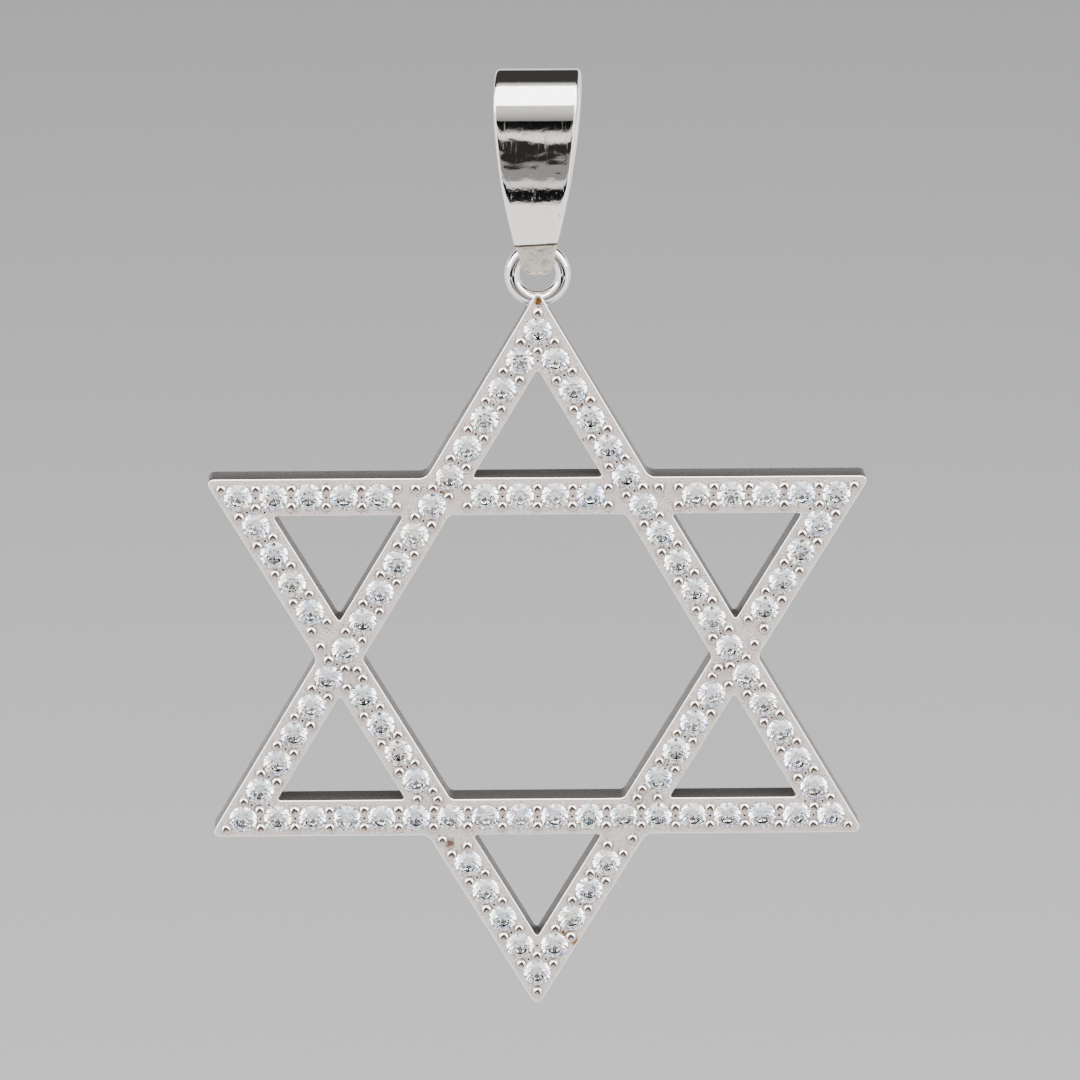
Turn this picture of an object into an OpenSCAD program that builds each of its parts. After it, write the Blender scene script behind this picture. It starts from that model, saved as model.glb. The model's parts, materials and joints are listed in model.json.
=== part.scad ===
// Six-pointed star pendant: a cast silver star with a ring soldered to its top tip,
// two rows of round cut stones held between cast beads, and a tapered folded bail.
// Millimetres, +Z up, the front faces -Y. The origin is the point inside the top of
// the bail that a chain hangs it from.

/* [Star] */
// Distance from the centre of the star to the sharp end of each tip
star_reach = 20.5; // [16:0.5:26]
// Width of the bars that both triangles are made of
bar_w = 2.1; // [2.05:0.05:2.6]
// Thickness of the cast bars
bar_t = 1.4; // [1.2:0.1:2]
// Width and height of the bevel along the front edges of the bars
edge_bevel = 0.12; // [0.05:0.01:0.15]
// Radius that rounds the tips
tip_round = 0.35; // [0.1:0.05:0.6]
// Radius of the fillets in the outer corners between the tips
crotch_fillet = 0.6; // [0.2:0.1:1.2]
// Radius of the fillets in the corners of the hexagon
hexagon_fillet = 0.4; // [0.2:0.1:1]

/* [Stones] */
// Diameter of the round stones across the girdle
stone_d = 1.5; // [1.2:0.05:1.6]
// Least gap between the girdles of two stones in a row
stone_gap = 0.36; // [0.3:0.02:0.6]
// Width of the table, as a share of the stone's diameter
table_share = 0.56; // [0.5:0.01:0.62]
// Height of the crown above the girdle
crown_h = 0.24; // [0.15:0.01:0.3]
// Height of the girdle band
girdle_h = 0.05; // [0.03:0.01:0.08]
// Depth of the pavilion below the girdle
pavilion_h = 0.62; // [0.5:0.01:0.7]
// Height of the girdle's lower edge above the front of the bars
stone_rise = 0.02; // [0:0.01:0.06]
// Clearance between a stone and its seat
seat_gap = 0.05; // [0.03:0.01:0.08]
// Diameter of the hole that opens each seat to the back
seat_hole_d = 0.8; // [0.5:0.05:0.9]

/* [Beads] */
// Diameter of the cast beads that hold the stones
bead_d = 0.46; // [0.4:0.02:0.5]
// Height of a bead's centre above the front of the bars
bead_rise = 0.06; // [0.02:0.02:0.12]
// Clearance between a bead and the nearest seat
bead_gap = 0.03; // [0.02:0.01:0.06]

/* [Ring] */
// Outer diameter of the soldered ring
ring_d = 3.5; // [3.4:0.1:4.5]
// Diameter of the ring's wire
ring_wire = 0.8; // [0.6:0.05:0.85]
// Depth that the ring's outside sinks below the sharp end of the top tip
ring_sink = 0.9; // [0.8:0.05:1.1]
// Diameter of the solder where the ring meets the tip
solder_d = 1.3; // [1.1:0.05:1.35]

/* [Bail] */
// Height of the bail from its top to its foot
bail_h = 11.1; // [10:0.1:14]
// Width of the bail at its top
bail_w = 4.4; // [4:0.1:6]
// Width of the bail at its foot
foot_w = 1.2; // [1:0.05:1.3]
// Depth of the bail from front to back at its top
bail_depth = 4.4; // [4:0.1:6]
// Thickness of the folded strip
strip_t = 0.5; // [0.45:0.05:0.6]
// Radius of the bulge of the front and back leaves
leaf_bulge = 30; // [20:1:60]
// Height of the seam above the foot, where the front leaf ends on the turned-up strip
seam_h = 2; // [1.5:0.1:2.5]
// Depth of the step at the seam
seam_step = 0.12; // [0.05:0.01:0.15]
// Clearance between the ring and the eye that it swings in
eye_gap = 0.1; // [0.08:0.01:0.15]

/* [Hidden] */
EPS = 0.01;

// The two triangles: the turn of each, and how many sides a triangle has
UPRIGHT_TURN = 0;
INVERTED_TURN = 180;
SIDES = 3;
SIXTH = 60;
// The inverted triangle's top side, which has no lone beads towards the hexagon
TOP_SIDE = 0;

// A bar's centre line
bar_line = star_reach / 2 - bar_w / 2;
side_len = 2 * sqrt(3) * bar_line;
stone_steps = floor(side_len / (stone_d + stone_gap));
pitch = side_len / stone_steps;

// Seats and beads
front = bar_t / 2;
seat_r = stone_d / 2 + seat_gap;
bead_r = bead_d / 2;
bead_reach = seat_r + bead_r + bead_gap;
bead_off = max(bead_r + bead_gap, sqrt(max(0, pow(bead_reach, 2) - pow(pitch / 2, 2))));
// Lone beads beside each crossing, in steps from where the centre lines cross
LONE_OUTER = 0.62;
LONE_INNER = 0.53;
crossing = stone_steps / 3;

// Ring, measured from the star's centre
ring_r = ring_d / 2;
wire_line = ring_r - ring_wire / 2;
ring_bore_r = ring_r - ring_wire;
ring_up = star_reach - ring_sink + ring_r;

// Bail: both sides are arcs that start upright at its top. d is a depth below the top.
bail_top = strip_t;
foot_z = bail_top - bail_h;
taper_in = (bail_w - foot_w) / 2;
taper_r = (pow(bail_h, 2) + pow(taper_in, 2)) / (2 * taper_in);
function half_width(d) = bail_w / 2 - taper_r + sqrt(pow(taper_r, 2) - d * d);

// The eye at the foot is centred on the swing axis and clears the ring's wire all round
floor_half = half_width(bail_h - strip_t);
wire_low = sqrt(pow(ring_bore_r, 2) - pow(floor_half, 2));
eye_r = (ring_r - wire_low) / 2 + eye_gap;
axis_z = foot_z + strip_t + eye_r;
ring_z = axis_z - (ring_r + wire_low) / 2;
star_z = ring_z - ring_up;

// Points along the centre lines. step runs from 0 at one tip to stone_steps at the next,
// side is 0 to 2, and off is the distance towards the outside of the star.
function turned(p, a) = [p.x * cos(a) - p.y * sin(a), p.x * sin(a) + p.y * cos(a)];
function on_side(turn, side, step, off = 0) =
    turned([step * pitch - side_len / 2, -bar_line - off], turn + side * 360 / SIDES);
function tip(turn, i, reach) = turned([0, reach], turn + i * 360 / SIDES);

// Stones: every step of the upright triangle, and those of the inverted one that stay
// clear of them where the triangles cross
function row(turn) = [for (s = [0 : SIDES - 1]) for (k = [0 : stone_steps - 1]) on_side(turn, s, k)];
function nearest(p, points) = min([for (q = points) norm(p - q)]);
upright_stones = row(UPRIGHT_TURN);
inverted_stones = [for (p = row(INVERTED_TURN))
    if (nearest(p, upright_stones) >= stone_d + stone_gap) p];
all_stones = concat(upright_stones, inverted_stones);

// Beads: one pair in each gap beside a stone, single ones at the tips and by the crossings
function has_stone(p) = nearest(p, all_stones) < EPS;
function pair_at(turn, s, k) = has_stone(on_side(turn, s, k)) || has_stone(on_side(turn, s, k + 1));
function paired(turn) = [for (s = [0 : SIDES - 1]) for (k = [0 : stone_steps - 1])
    if (pair_at(turn, s, k)) for (off = [bead_off, -bead_off])
        if (off > 0 || (k > 0 && k < stone_steps - 1)) on_side(turn, s, k + 0.5, off)];
function at_tips(turn) = [for (i = [0 : SIDES - 1]) for (d = [bead_reach, -bead_reach])
    tip(turn, i, 2 * bar_line + d)];
function lone(side) = concat(
    [for (k = [crossing - LONE_OUTER, stone_steps - crossing + LONE_OUTER])
        on_side(INVERTED_TURN, side, k, bead_off)],
    side == TOP_SIDE ? [] : [for (k = [crossing + LONE_INNER, stone_steps - crossing - LONE_INNER])
        on_side(INVERTED_TURN, side, k, -bead_off)]);
all_beads = concat(paired(UPRIGHT_TURN), paired(INVERTED_TURN),
    at_tips(UPRIGHT_TURN), at_tips(INVERTED_TURN),
    [for (s = [0 : SIDES - 1]) for (p = lone(s)) p]);
clear_beads = [for (p = all_beads) if (nearest(p, all_stones) >= bead_reach - EPS) p];

// Moves what is drawn flat, front upwards, to the hanging star's place
module stand_up() {
    translate([0, 0, star_z]) rotate([90, 0, 0]) children();
}

// Solid between three long sides that share one section, which is drawn outwards and up
module three_sides(section) {
    intersection_for (s = [0 : SIDES - 1]) rotate([0, 0, s * 360 / SIDES - 90]) rotate([90, 0, 0])
        linear_extrude(4 * star_reach, center = true) polygon(section);
}

// One triangle of bars, its front edges bevelled inside and outside
module triangle(turn) {
    out = star_reach / 2;
    in = out - bar_w;
    above = bar_t;
    rotate([0, 0, turn]) difference() {
        three_sides([[-star_reach, -front], [out, -front], [out, front - edge_bevel],
            [out - edge_bevel, front], [-star_reach, front]]);
        three_sides([[-star_reach, -bar_t], [in, -bar_t], [in, front - edge_bevel],
            [in + edge_bevel + above, front + above], [-star_reach, front + above]]);
    }
}

module bars() {
    triangle(UPRIGHT_TURN);
    triangle(INVERTED_TURN);
}

// Corner points of straight facets that lie against an arc of a given span. The first and
// last facets run on a little past the span, so that they end inside or outside the metal.
RUN_ON = 2;
function polar(r, a) = [r * cos(a), r * sin(a)];
function arc_facets(r, facets, span) =
    let (step = span / (facets + 1), end = span / 2 + RUN_ON, far = r / cos(step + RUN_ON))
    concat([polar(far, -end)],
        [for (i = [1 : facets - 1]) polar(r / cos(step / 2), (i - facets / 2) * step)],
        [polar(far, end)]);

// What is cut from a tip at [tip_at, 0] to round it
module tip_cut(tip_at) {
    facets = 9;
    span = 180 - SIXTH;
    beyond = 2 * tip_round;
    aside = 3 * tip_round;
    translate([tip_at - 2 * tip_round, 0, 0]) linear_extrude(2 * bar_t, center = true)
        polygon(concat(arc_facets(tip_round, facets, span), [[beyond, aside], [beyond, -aside]]));
}

// Fillet in a corner at [corner, 0] whose sides open 120 degrees towards +X
module fillet(corner, r) {
    facets = 5;
    centre = corner + r / sin(SIXTH);
    inside = corner - r;
    translate([0, 0, -edge_bevel / 2]) linear_extrude(bar_t - edge_bevel, center = true)
        polygon(concat([for (p = arc_facets(r, facets, SIXTH)) [centre - p.x, p.y]],
            [[inside, r / 2], [inside, -r / 2]]));
}

module rounded_bars() {
    crotch = star_reach / sqrt(3);
    hexagon = (star_reach - 2 * bar_w) / sqrt(3);
    difference() {
        union() {
            bars();
            for (i = [0 : 5]) rotate([0, 0, i * SIXTH]) {
                fillet(crotch, crotch_fillet);
                mirror([1, 0, 0]) fillet(-hexagon, hexagon_fillet);
            }
        }
        for (i = [0 : 5]) rotate([0, 0, (i + 0.5) * SIXTH]) tip_cut(star_reach);
    }
}

// Seat for one stone: a straight wall round the girdle, a cone and a hole to the back
module seat() {
    ledge = front - 0.1;
    hole_r = seat_hole_d / 2;
    cone_h = pavilion_h * (seat_r - hole_r) / (stone_d / 2);
    rotate_extrude($fn = 48)
        polygon([[0, -bar_t], [hole_r, -bar_t], [hole_r, ledge - cone_h], [seat_r, ledge],
            [seat_r, bar_t], [0, bar_t]]);
}

module solder() {
    inside = 0.1;
    translate([0, ring_up - ring_bore_r - inside - solder_d / 2, 0]) sphere(d = solder_d, $fn = 48);
}

module ring() {
    translate([0, ring_up, 0]) rotate_extrude($fn = 96) translate([wire_line, 0]) circle(d = ring_wire, $fn = 32);
}

module beads() {
    for (p = clear_beads) translate([p.x, p.y, front + bead_rise]) rotate([90, 0, 0])
        sphere(r = bead_r, $fn = 32);
}

module star_frame() {
    color([0.9, 0.89, 0.88]) stand_up() {
        difference() {
            rounded_bars();
            for (p = all_stones) translate([p.x, p.y, 0]) seat();
        }
        beads();
        ring();
        solder();
    }
}

// One cut stone, girdle's lower edge at height 0: a table, eight crown facets, the girdle
// and eight pavilion facets
module stone() {
    facets = 8;
    function loop(r, z) = [for (i = [0 : facets - 1])
        [r * cos((i + 0.5) * 360 / facets), r * sin((i + 0.5) * 360 / facets), z]];
    function band(low, high) = [for (i = [0 : facets - 1])
        [low + i, high + i, high + (i + 1) % facets, low + (i + 1) % facets]];
    polyhedron(
        points = concat([[0, 0, -pavilion_h]], loop(stone_d / 2, 0), loop(stone_d / 2, girdle_h),
            loop(table_share * stone_d / 2, girdle_h + crown_h)),
        faces = concat(
            [for (i = [0 : facets - 1]) [0, 1 + i, 1 + (i + 1) % facets]],
            band(1, 1 + facets),
            band(1 + facets, 1 + 2 * facets),
            [[for (i = [facets - 1 : -1 : 0]) 1 + 2 * facets + i]]));
}

module stones(places) {
    color([0.9, 0.94, 1, 0.6]) stand_up()
        for (p = places) translate([p.x, p.y, front + stone_rise]) stone();
}

// Half of the bail's side outline, from its top to its foot: a round top, a bulging leaf
// and a round foot that run into each other. Points are [depth, height].
function half_outline(z_top, r_top, z_foot, r_foot, bulge) =
    let (zt = z_top - r_top, zf = z_foot + r_foot,
        zc = (pow(bulge - r_top, 2) - pow(bulge - r_foot, 2) - zt * zt + zf * zf) / (2 * (zf - zt)),
        yc = sqrt(pow(bulge - r_top, 2) - pow(zc - zt, 2)),
        a_top = atan2(zt - zc, yc), a_foot = atan2(zf - zc, yc),
        n_top = 18, n_leaf = 10, n_foot = 10)
    concat(
        [for (i = [0 : n_top - 1]) let (a = 90 + (a_top - 90) * i / n_top)
            [r_top * cos(a), zt + r_top * sin(a)]],
        [for (i = [0 : n_leaf]) let (a = a_top + (a_foot - a_top) * i / n_leaf)
            [bulge * cos(a) - yc, zc + bulge * sin(a)]],
        [for (i = [1 : n_foot]) let (a = a_foot + (-90 - a_foot) * i / n_foot)
            [r_foot * cos(a), zf + r_foot * sin(a)]]);

// Turns half an outline into a closed one, front at -depth
function both_halves(back, front) =
    concat(back, [for (i = [len(front) - 2 : -1 : 1]) [-front[i].x, front[i].y]]);

// The front leaf lies on the turned-up strip: below the seam the outline steps back, less
// and less towards the foot
function seamed(outline) = let (seam_z = foot_z + seam_h) concat(
    [for (p = outline) if (p.y > seam_z) p],
    [for (k = [0, 1]) [lookup_depth(outline, seam_z) - k * seam_step, seam_z]],
    [for (p = outline) if (p.y < seam_z) [p.x - seam_step * (p.y - foot_z) / seam_h, p.y]]);
function lookup_depth(outline, z) = lookup(z, [for (i = [len(outline) - 1 : -1 : 0])
    if (outline[i].y < bail_top - bail_depth / 2) [outline[i].y, outline[i].x]]);

module bail_loop() {
    outer = half_outline(bail_top, bail_depth / 2, foot_z, eye_r + strip_t, leaf_bulge);
    inner = half_outline(0, bail_depth / 2 - strip_t, foot_z + strip_t, eye_r, leaf_bulge - strip_t);
    rotate([90, 0, 90]) linear_extrude(2 * bail_w, center = true) difference() {
        polygon(both_halves(outer, seamed(outer)));
        polygon(both_halves(inner, inner));
    }
}

module bail() {
    color([0.93, 0.92, 0.91]) intersection() {
        bail_loop();
        intersection_for (side = [-1, 1])
            translate([side * (bail_w / 2 - taper_r), 0, bail_top]) rotate([90, 0, 0])
                cylinder(r = taper_r, h = 2 * bail_depth, center = true, $fn = 180);
    }
}

star_frame();
stones(upright_stones);  // stones_upright
stones(inverted_stones);  // stones_inverted
bail();
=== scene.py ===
"""Looks of a six-pointed star pendant: cast silver bars set with round stones, a soldered ring
and a tapered bail. Metres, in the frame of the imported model: +Z up, the front faces -Y, and the
origin is the point inside the top of the bail that a chain hangs it from."""

import json
import logging
import math
import random
from collections.abc import Callable, Iterable, Iterator
from contextlib import contextmanager
from dataclasses import dataclass, field
from enum import Enum, IntEnum
from functools import cached_property

import bmesh
import bpy
from mathutils import Matrix, Vector, noise
from mathutils.kdtree import KDTree


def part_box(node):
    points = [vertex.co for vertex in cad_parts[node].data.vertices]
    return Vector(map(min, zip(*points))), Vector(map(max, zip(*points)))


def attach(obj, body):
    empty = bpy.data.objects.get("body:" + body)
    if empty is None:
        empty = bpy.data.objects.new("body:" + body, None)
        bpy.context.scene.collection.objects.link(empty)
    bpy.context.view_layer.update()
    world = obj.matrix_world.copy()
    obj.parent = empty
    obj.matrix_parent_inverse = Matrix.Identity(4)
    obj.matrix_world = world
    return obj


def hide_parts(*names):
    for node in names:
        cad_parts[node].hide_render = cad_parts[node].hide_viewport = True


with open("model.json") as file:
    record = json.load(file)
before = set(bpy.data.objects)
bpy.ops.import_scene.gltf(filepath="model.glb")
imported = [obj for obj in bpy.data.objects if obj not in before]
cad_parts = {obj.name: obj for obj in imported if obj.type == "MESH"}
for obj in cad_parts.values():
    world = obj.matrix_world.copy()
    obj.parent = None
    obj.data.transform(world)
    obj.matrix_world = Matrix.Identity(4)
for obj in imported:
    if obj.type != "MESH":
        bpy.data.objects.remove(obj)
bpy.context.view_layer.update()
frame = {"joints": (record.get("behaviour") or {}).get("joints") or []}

MM = 0.001
# In millimetres: two places nearer to each other than TOUCH are one, two nearer than NEAR belong
# together, and what stands more than RAISED above the front is part of a bead.
TOUCH = 0.001
NEAR = 0.02
RAISED = 0.005
LOG = logging.getLogger("pendant")
Colour = tuple[float, float, float]


class Body(Enum):
    """The two bodies of the pendant."""

    BAIL = "bail"
    STAR = "star"


class Slot(Enum):
    """The material slots that the finishes belong to."""

    POLISHED = "polished_silver"
    CAST = "cast_silver"
    STONE = "clear_stone"


class Turn(Enum):
    """How each triangle of bars is turned about the star's centre, in degrees."""

    UPRIGHT = 0.0
    INVERTED = 180.0


class BarFace(IntEnum):
    """The kinds of face on the cast bars, in the order of their finishes."""

    SATIN = 0
    ROUGH = 1
    BRIGHT = 2
    SEAT = 3
    HOLLOW = 4
    BACK = 5
    # Sides of the beads, darkened with painted shade
    BEAD_SIDE_SHADE = 6


class BailFace(IntEnum):
    """The kinds of face on the bail, in the order of their finishes."""

    POLISHED = 0
    FOOT = 1
    SEAM = 2


# Work in Blender: selecting, shaping and joining


def pick(*pieces: bpy.types.Object) -> None:
    """Selects these pieces alone and makes the first one active.

    Args:
        pieces: Objects to select.
    """
    bpy.ops.object.select_all(action="DESELECT")
    for piece in pieces:
        piece.select_set(True)
    bpy.context.view_layer.objects.active = pieces[0]


def take(name: str) -> bpy.types.Object:
    """Names the newly added primitive and brings its place and turn into its mesh.

    Args:
        name: Name of the piece.

    Returns:
        The object, at the origin.
    """
    piece = bpy.context.active_object
    piece.name = piece.data.name = name
    bpy.ops.object.transform_apply(location=True, rotation=True, scale=True)
    return piece


@contextmanager
def editing(piece: bpy.types.Object, kind: str, chosen: Callable[..., bool]) -> Iterator[None]:
    """Opens edit mode with the chosen vertices, edges or faces selected.

    Args:
        piece: Object to edit.
        kind: "VERT", "EDGE" or "FACE".
        chosen: Says of each such element whether it is selected.

    Returns:
        The context in which edit mode is open.
    """
    pick(piece)
    bpy.ops.object.mode_set(mode="EDIT")
    bpy.ops.mesh.select_mode(type=kind)
    bpy.ops.mesh.select_all(action="DESELECT")
    shape = bmesh.from_edit_mesh(piece.data)
    elements = {"VERT": shape.verts, "EDGE": shape.edges, "FACE": shape.faces}[kind]
    for element in [e for e in elements if chosen(e)]:
        element.select_set(True)
    bmesh.update_edit_mesh(piece.data)
    yield
    bpy.ops.object.mode_set(mode="OBJECT")


def shaped_by(piece: bpy.types.Object, kind: str, **settings: object) -> None:
    """Applies one modifier to a piece.

    Args:
        piece: Object to shape.
        kind: The modifier's type.
        settings: Values of the modifier.
    """
    pick(piece)
    modifier = piece.modifiers.new(kind.lower(), kind)
    for key, value in settings.items():
        setattr(modifier, key, value)
    bpy.ops.object.modifier_apply(modifier=modifier.name)


def combine(piece: bpy.types.Object, tool: bpy.types.Object, operation: str) -> None:
    """Cuts a tool from a piece or melts it into the piece, and removes the tool.

    Args:
        piece: Object that stays.
        tool: Object that is used up.
        operation: "DIFFERENCE" or "UNION".
    """
    shaped_by(piece, "BOOLEAN", object=tool, operation=operation, solver="EXACT")
    bpy.data.objects.remove(tool, do_unlink=True)


def repeat(pattern: bpy.types.Object, places: Iterable[Matrix], name: str) -> bpy.types.Object:
    """Copies a pattern to every place, each copy with its own mesh, and joins the copies.

    Args:
        pattern: Object modelled once about the origin. It is used up.
        places: One matrix for each copy.
        name: Name of the joined object.

    Returns:
        The joined object.
    """
    copies = []
    for place in places:
        copy = pattern.copy()
        copy.data = pattern.data.copy()
        copy.data.transform(place)
        bpy.context.scene.collection.objects.link(copy)
        copies.append(copy)
    bpy.data.objects.remove(pattern, do_unlink=True)
    pick(*copies)
    bpy.ops.object.join()
    joined = bpy.context.active_object
    joined.name = joined.data.name = name
    return joined


def smoothed(piece: bpy.types.Object, angle: float, flat_axis: Vector | None = None) -> None:
    """Shades a piece smooth up to an angle, but leaves faces square to an axis flat.

    Args:
        piece: Object to shade.
        angle: Greatest angle between smooth neighbours, in degrees.
        flat_axis: Axis of the flat faces, or None.
    """
    pick(piece)
    bpy.ops.object.shade_smooth_by_angle(angle=math.radians(angle))
    if flat_axis is None:
        return
    for face in piece.data.polygons:
        if abs(face.normal.dot(flat_axis)) > 0.999:
            face.use_smooth = False


def in_metres(piece: bpy.types.Object) -> bpy.types.Object:
    """Brings a piece that was modelled in millimetres to metres.

    Args:
        piece: Finished object.

    Returns:
        The same object.
    """
    piece.data.transform(Matrix.Scale(MM, 4))
    return piece


def hand_over(piece: bpy.types.Object, body: Body, slot: Slot, *nodes: str) -> None:
    """Brings a finished piece to metres, gives it to its body and hides the imported nodes that it
    stands for.

    Args:
        piece: Finished object.
        body: Body that it rides on.
        slot: Material slot of the record; not used.
        nodes: Names of the nodes that it replaces.
    """
    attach(in_metres(piece), body.value)
    if nodes:
        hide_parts(*nodes)
    LOG.info("%s: %d faces on body %s", piece.name, len(piece.data.polygons), body.value)


# Finishes


class Graph:
    """Adds nodes to a node tree and links them."""

    def __init__(self, tree: bpy.types.NodeTree) -> None:
        """Keeps the tree."""
        self.tree = tree

    def add(self, kind: str, inputs: dict[str | int, object] | None = None,
            **settings: object) -> bpy.types.Node:
        """Adds one node.

        Args:
            kind: The node's type.
            inputs: Socket names or numbers, with a value or an output socket each.
            settings: Properties of the node.

        Returns:
            The node.
        """
        node = self.tree.nodes.new(kind)
        for key, value in settings.items():
            setattr(node, key, value)
        for key, value in (inputs or {}).items():
            if isinstance(value, bpy.types.NodeSocket):
                self.tree.links.new(value, node.inputs[key])
            else:
                node.inputs[key].default_value = value
        return node

    def maths(self, operation: str, *values: object, clamp: bool = False) -> bpy.types.NodeSocket:
        """Adds a Math node.

        Args:
            operation: The operation's name.
            values: Numbers or output sockets.
            clamp: Whether the result is kept from 0 to 1.

        Returns:
            Its output.
        """
        node = self.add("ShaderNodeMath", dict(enumerate(values)), operation=operation)
        node.use_clamp = clamp
        return node.outputs[0]

    def ramp(self, value: object, low: float, high: float, start: float = 0.0,
             end: float = 1.0) -> bpy.types.NodeSocket:
        """Maps a value smoothly from one range to another.

        Args:
            value: Output socket.
            low: Value that gives start.
            high: Value that gives end.
            start: Result at and below low.
            end: Result at and above high.

        Returns:
            The output socket.
        """
        node = self.add("ShaderNodeMapRange", {"Value": value, "From Min": low, "From Max": high,
                                               "To Min": start, "To Max": end})
        node.interpolation_type = "SMOOTHSTEP"
        return node.outputs["Result"]

    def blend(self, share: object, first: object, second: object) -> bpy.types.NodeSocket:
        """Mixes two colours.

        Args:
            share: Share of the second colour, a number or an output socket.
            first: Colour or output socket.
            second: Colour or output socket.

        Returns:
            The mixed colour's output.
        """
        node = self.add("ShaderNodeMix", data_type="RGBA")
        for socket, value in zip((node.inputs[0], node.inputs[6], node.inputs[7]),
                                 (share, first, second)):
            if isinstance(value, bpy.types.NodeSocket):
                self.tree.links.new(value, socket)
            elif isinstance(value, float):
                socket.default_value = value
            else:
                socket.default_value = (*value, 1.0)
        return node.outputs[2]


def new_group(name: str, inputs: dict[str, str], outputs: dict[str, str]) -> tuple[
        bpy.types.NodeTree, Graph, bpy.types.Node, bpy.types.Node]:
    """Starts a shader node group with named sockets.

    Args:
        name: The group's name.
        inputs: Socket names, with a socket type each.
        outputs: Socket names, with a socket type each.

    Returns:
        The group, its graph, its input node and its output node.
    """
    group = bpy.data.node_groups.new(name, "ShaderNodeTree")
    for way, sockets in (("INPUT", inputs), ("OUTPUT", outputs)):
        for socket, kind in sockets.items():
            group.interface.new_socket(name=socket, in_out=way, socket_type=kind)
    graph = Graph(group)
    return group, graph, graph.add("NodeGroupInput"), graph.add("NodeGroupOutput")


FLOAT = "NodeSocketFloat"
VECTOR = "NodeSocketVector"


class Effects:
    """Node groups that the finishes share. Edges are the values between which a mask fades."""

    FINE_ROUGHNESS = 0.62
    PATCH_SCALE = 0.22
    PATCH_EDGE = (0.45, 0.62)
    PIT_EDGE = (0.12, 0.34)
    HOLLOW_EDGE = (0.5, 0.1)
    HAIR_TURNS = (0.5, -1.1)
    HAIR_STRETCH = 0.035
    HAIR_ROUGHNESS = 0.7
    HAIR_EDGE = (0.62, 0.72)
    STAIN_GRAIN = 5200.0
    STAIN_EDGE = (0.35, 1.0)

    def __init__(self) -> None:
        """Builds each group once."""
        self.grain = self.grain_group()
        self.scratches = self.scratches_group()
        self.stain = self.stain_group()

    def grain_group(self) -> bpy.types.NodeTree:
        """Uneven skin of cast metal: fine grain and scattered pits.

        Returns:
            The group.
        """
        group, graph, start, end = new_group(
            "cast_grain", {"Place": VECTOR, "Scale": FLOAT, "Pits": FLOAT},
            {"Height": FLOAT, "Hollows": FLOAT})
        place, scale = start.outputs["Place"], start.outputs["Scale"]
        fine = graph.add("ShaderNodeTexNoise", {"Vector": place, "Scale": scale, "Detail": 3.0,
                                                "Roughness": self.FINE_ROUGHNESS})
        cells = graph.add("ShaderNodeTexVoronoi", {"Vector": place, "Scale": scale})
        broad = graph.add("ShaderNodeTexNoise", {
            "Vector": place, "Scale": graph.maths("MULTIPLY", scale, self.PATCH_SCALE),
            "Detail": 2.0})
        pit = graph.ramp(cells.outputs["Distance"], *self.PIT_EDGE, 1.0, 0.0)
        where = graph.ramp(broad.outputs["Fac"], *self.PATCH_EDGE)
        pits = graph.maths("MULTIPLY", graph.maths("MULTIPLY", pit, where), start.outputs["Pits"])
        height = graph.maths("SUBTRACT", fine.outputs["Fac"], pits)
        graph.tree.links.new(height, end.inputs["Height"])
        graph.tree.links.new(graph.ramp(height, *self.HOLLOW_EDGE), end.inputs["Hollows"])
        return group

    def scratches_group(self) -> bpy.types.NodeTree:
        """Hairline scratches of wear, in two directions.

        Returns:
            The group.
        """
        group, graph, start, end = new_group(
            "hairlines", {"Place": VECTOR, "Scale": FLOAT}, {"Height": FLOAT, "Lines": FLOAT})
        lines = []
        for turn in self.HAIR_TURNS:
            placed = graph.add("ShaderNodeMapping", {
                "Vector": start.outputs["Place"], "Rotation": (0.0, turn, 0.0),
                "Scale": (1.0, 1.0, self.HAIR_STRETCH)})
            hair = graph.add("ShaderNodeTexNoise", {
                "Vector": placed.outputs["Vector"], "Scale": start.outputs["Scale"],
                "Detail": 2.0, "Roughness": self.HAIR_ROUGHNESS})
            lines.append(graph.ramp(hair.outputs["Fac"], *self.HAIR_EDGE))
        both = graph.maths("MAXIMUM", *lines)
        graph.tree.links.new(graph.maths("MULTIPLY", both, -1.0), end.inputs["Height"])
        graph.tree.links.new(both, end.inputs["Lines"])
        return group

    def stain_group(self) -> bpy.types.NodeTree:
        """One ragged spot of tarnish about a point.

        Returns:
            The group.
        """
        group, graph, start, end = new_group(
            "stain_spot", {"Place": VECTOR, "Centre": VECTOR, "Radius": FLOAT}, {"Mask": FLOAT})
        place, centre = start.outputs["Place"], start.outputs["Centre"]
        apart = graph.add("ShaderNodeVectorMath", {0: place, 1: centre}, operation="DISTANCE")
        ragged = graph.add("ShaderNodeTexNoise", {
            "Vector": place, "Scale": self.STAIN_GRAIN, "Detail": 3.0})
        share = graph.maths("DIVIDE", apart.outputs["Value"], start.outputs["Radius"])
        rough = graph.maths("ADD", share, graph.maths("SUBTRACT", ragged.outputs["Fac"], 0.5))
        graph.tree.links.new(graph.ramp(rough, *self.STAIN_EDGE, 1.0, 0.0), end.inputs["Mask"])
        return group


@dataclass(frozen=True)
class Stain:
    """A spot of tarnish: its place to the right and up from the piece's centre, and its radius,
    in millimetres."""

    place: tuple[float, float]
    radius: float
    colour: Colour = (0.36, 0.22, 0.11)


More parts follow.
